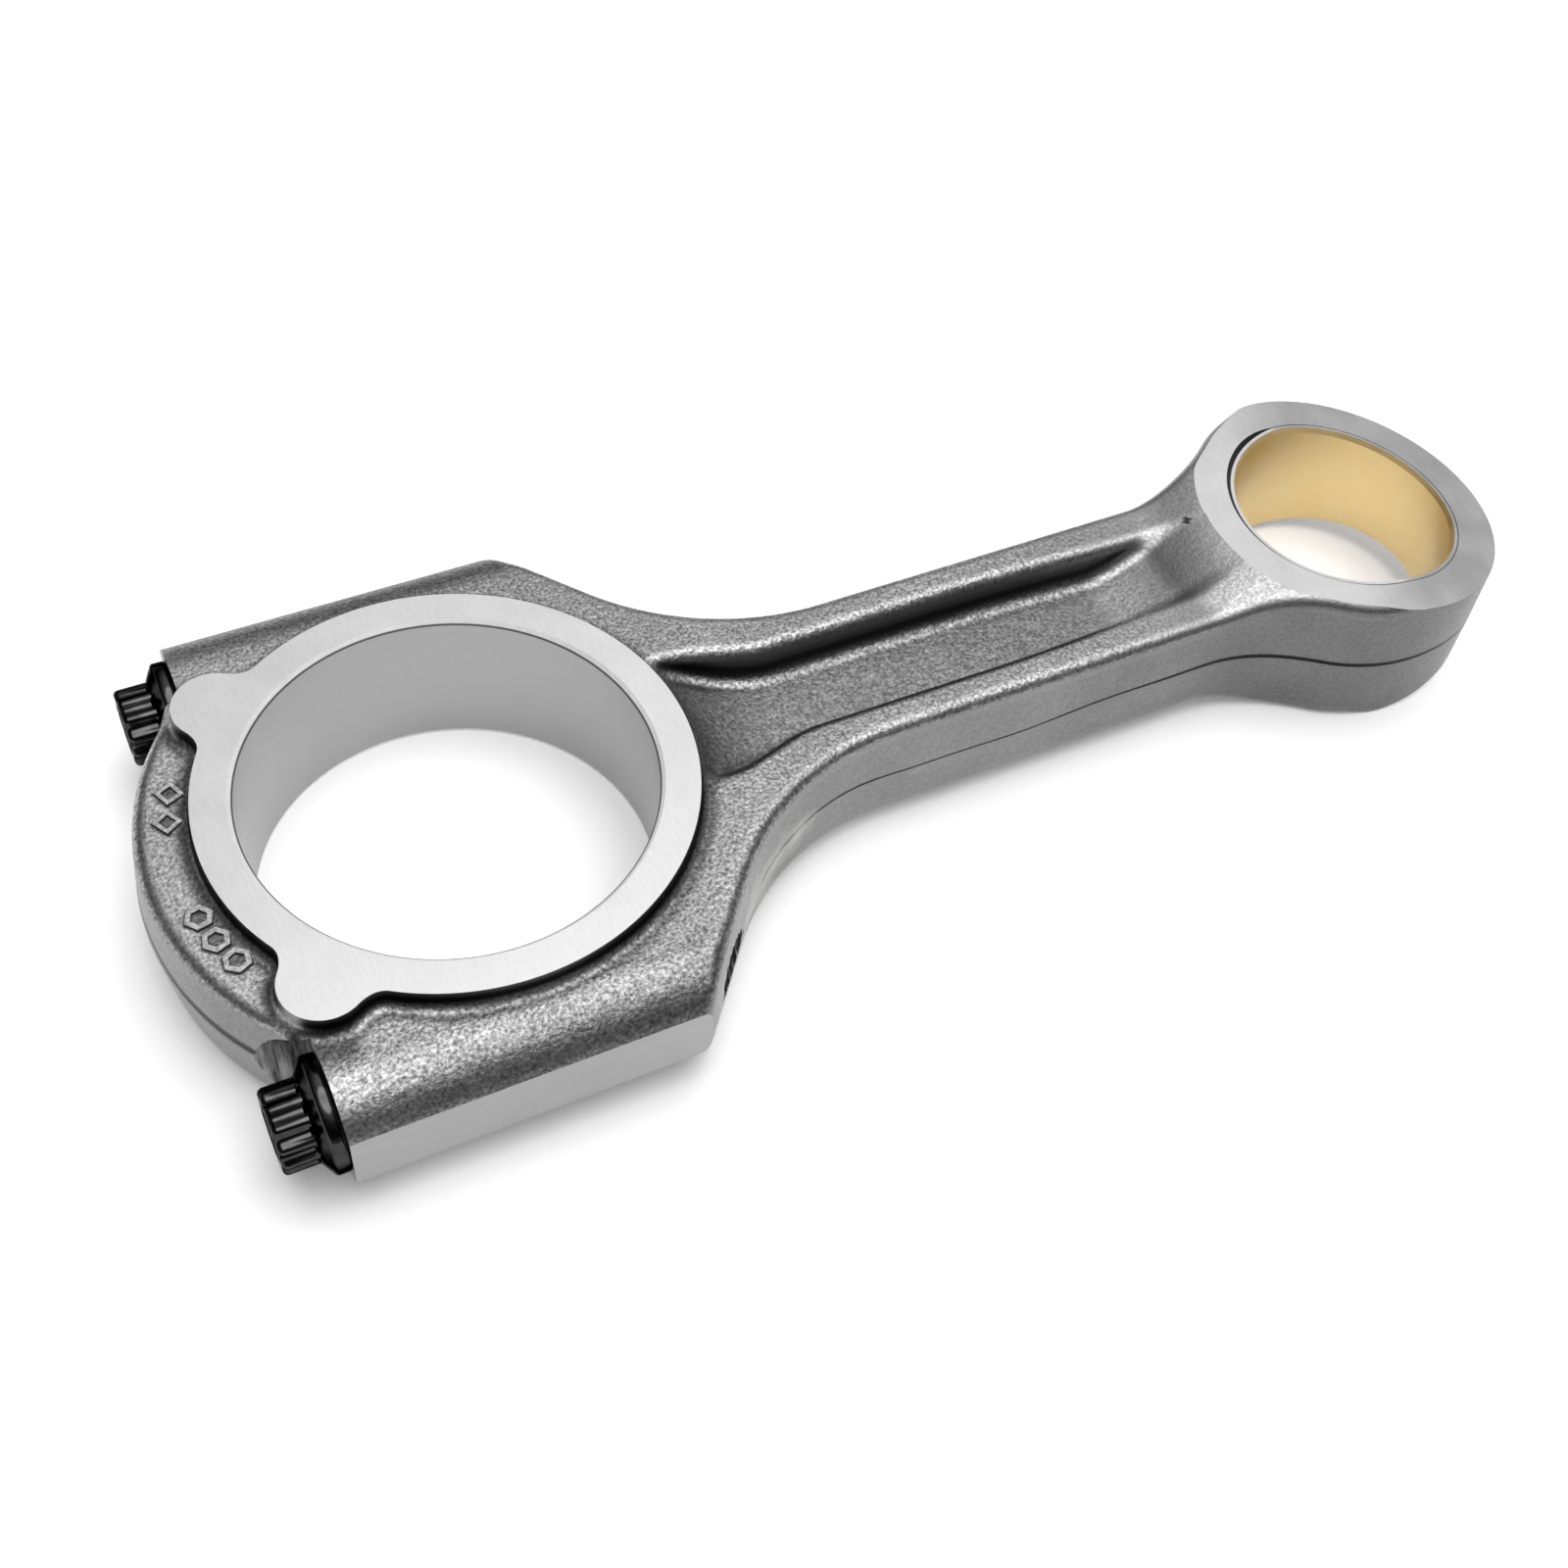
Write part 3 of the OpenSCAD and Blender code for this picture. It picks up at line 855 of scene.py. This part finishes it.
def flange_bolt(name, side):
    """A 12-point flange bolt with a rolled thread. It is built as rings from head to tip."""
    head = BOLT_HEAD_X
    flange = SEAT_X - FLANGE_T
    cone = flange - CONE_T
    turns = turns_of(144)
    rings = []

    def add_ring(x, radii):
        rings.append([(x, r * math.cos(turn), r * math.sin(turn)) for r, turn in zip(radii, turns)])

    def add_turned(*profile):
        """Round rings at each (x, radius)."""
        for x, radius in profile:
            add_ring(x, [radius] * len(turns))

    def star(inset):
        """The radii of the head's 12 points, made smaller all round by inset."""
        waves = [abs(((turn * 12 / (2 * math.pi)) % 1) * 2 - 1) for turn in turns]
        crests = [min(1, max(0, wave * 1.5 - 0.25)) for wave in waves]
        return [BOLT_ROOT_R + (BOLT_POINT_R - BOLT_ROOT_R) * crest - inset for crest in crests]

    # a shallow dish in the head's end, then the points with rounded ends
    add_turned((head + 1.6, 1.0), (head + 1.2, 3.6), (head + 0.25, 4.6), (head, 5.0))
    for x, inset in ((head, 0.75), (head + 0.12, 0.45), (head + 0.45, 0.12), (head + 0.9, 0)):
        add_ring(x, star(inset))
    add_ring(cone - 0.3, star(0))
    # the cone and the flange
    add_ring(cone + 0.1, [max(radius, 7.2) for radius in star(0)])
    add_turned((cone + 0.4, 7.75), (flange - 0.5, FLANGE_R - 1.3), (flange - 0.1, FLANGE_R - 0.7))
    add_turned((flange + 0.15, FLANGE_R - 0.25), (flange + 0.5, FLANGE_R - 0.02))
    add_turned((SEAT_X - 0.45, FLANGE_R - 0.02), (SEAT_X - 0.15, FLANGE_R - 0.2), (SEAT_X, FLANGE_R - 0.55))
    # the shank, its thread and the tip
    add_turned((SEAT_X, 5.9), (SEAT_X + 0.4, 5.45), (-4, 5.4), (-2, 5.0))
    rings += thread_rings(-1.5, BOLT_TIP_X - 1.2, THREAD_R - THREAD_GAP, 3, 1.2, len(turns))
    add_turned((BOLT_TIP_X - 1.0, 4.9), (BOLT_TIP_X, 4.1))
    made = tube_of(name, shifted(rings, side * BOLT_Y), BLACK)
    finish_shading(made, math.radians(35))
    return made


def bush_piece():
    """The bush as a steel back with a bronze lining, its ends following the keystone."""
    lining_r = PIN_R + LINING_T
    turns = turns_of(256)

    def end_z(turn, r):
        return float(keystone_z(PIN_X + r * math.cos(turn), BUSH_FACE_Z))

    verts = []
    for turn in turns:
        half = [(BUSH_R, end_z(turn, BUSH_R) - 0.3), (BUSH_R - 0.2, end_z(turn, BUSH_R - 0.2)),
                (lining_r, end_z(turn, lining_r)), (PIN_R, end_z(turn, PIN_R) - BUSH_CHAMFER)]
        section = half + [(r, -z) for r, z in reversed(half)]
        verts += [(PIN_X + r * math.cos(turn), r * math.sin(turn), z) for r, z in section]

    # the finish of the face after each point of the section: 0 steel, 1 bronze, 2 bronze edge with painted
    # highlight
    finish_of = (0, 0, 2, 1, 2, 0, 0, 0)
    count = len(finish_of)
    faces, finishes = [], []
    for i in range(len(turns)):
        j = (i + 1) % len(turns)
        for k, finish in enumerate(finish_of):
            m = (k + 1) % count
            faces.append((i * count + k, i * count + m, j * count + m, j * count + k))
            finishes.append(finish)
    made = mesh_object("bush", verts, faces, BACKING, BRONZE, BRONZE_EDGE)
    made.data.polygons.foreach_set("material_index", finishes)
    form = bmesh.new()
    form.from_mesh(made.data)
    bmesh.ops.recalc_face_normals(form, faces=form.faces)
    form.to_mesh(made.data)
    form.free()
    finish_shading(made)
    return made


blank = forged_blank(FORGED)
rod = rod_piece(copy_of(blank))
cap = cap_piece(blank)
for piece, node, body in ((rod, "rod_body", "rod"), (cap, "bearing_cap", "cap")):
    mark_hollows(piece)
    finish_shading(piece, flat=0)
    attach(piece, body)
    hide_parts(node)

for side, word in ((1, "left"), (-1, "right")):
    bolt = flange_bolt("rod_bolt_" + word, side)
    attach(bolt, "bolt_" + word)
    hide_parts("cap_bolt_" + word)

bush = bush_piece()
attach(bush, "rod")
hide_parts("small_end_bush")

# ---------------------------------------------------------------- floor, lights and camera
FLOOR_HALF = 3000
floor_corners = [(x * FLOOR_HALF, y * FLOOR_HALF, -FACE_Z) for x, y in ((-1, -1), (1, -1), (1, 1), (-1, 1))]
floor = mesh_object("floor", floor_corners, [(0, 1, 2, 3)], floor_paper())


def studio():
    """One big soft box overhead in a dim room, a paler wall to one side and a faint glow low all
    round."""
    world = bpy.data.worlds.new("studio")
    world.use_nodes = True
    tree = world.node_tree
    way = add(tree, "ShaderNodeTexCoord").outputs["Generated"]
    overhead = Vector((0.10, -0.10, 0.99)).normalized()
    beside = Vector((0.36, 0.58, 0.73)).normalized()

    def toward(direction, stops):
        """Brightness by how nearly a way points along a direction: 1 straight along it."""
        node = add(tree, "ShaderNodeVectorMath", {0: way, 1: direction}, operation="DOT_PRODUCT")
        return ramp(tree, node.outputs["Value"], stops)

    room = [(0.0, 0.008), (0.5, 0.010), (0.70, 0.035), (0.80, 0.10), (0.88, 0.15)]
    box = toward(overhead, [*room, (0.915, 1.0)])
    wall = toward(beside, [(0.76, 0.0), (0.92, 0.11), (0.985, 0.21)])
    glow = ramp(tree, part_of(tree, way, "Z"), [(0.12, 0.05), (0.18, 0.0)])
    light = mix(tree, 1.0, mix(tree, 1.0, box, wall, "ADD"), glow, "ADD")
    background = tree.nodes["Background"]
    tree.links.new(light, background.inputs["Color"])
    background.inputs["Strength"].default_value = 4.2
    bpy.context.scene.world = world


studio()
bpy.context.scene.view_settings.view_transform = "Standard"

# the camera: where it stands round its target, in metres, and its lens and sensor in millimetres
CAMERA_AZIMUTH = math.radians(-31.15)
CAMERA_ELEVATION = math.radians(51.7)
CAMERA_ROLL = math.radians(6.94)
CAMERA_DISTANCE = 0.36988
CAMERA_TARGET = Vector((0.05965, -0.01255, 0))
CAMERA_LENS = 45.9
CAMERA_SENSOR = 36

back = Vector((
    math.sin(CAMERA_AZIMUTH) * math.cos(CAMERA_ELEVATION),
    -math.cos(CAMERA_AZIMUTH) * math.cos(CAMERA_ELEVATION),
    math.sin(CAMERA_ELEVATION),
))
lens = bpy.data.cameras.new("camera")
lens.lens = CAMERA_LENS
lens.sensor_width = CAMERA_SENSOR
camera = bpy.data.objects.new("camera", lens)
bpy.context.scene.collection.objects.link(camera)
camera.location = CAMERA_TARGET + back * CAMERA_DISTANCE
camera.rotation_mode = "QUATERNION"
aim = (-back).to_track_quat("-Z", "Y")
camera.rotation_quaternion = aim @ Matrix.Rotation(CAMERA_ROLL, 3, "Z").to_quaternion()
bpy.context.scene.camera = camera
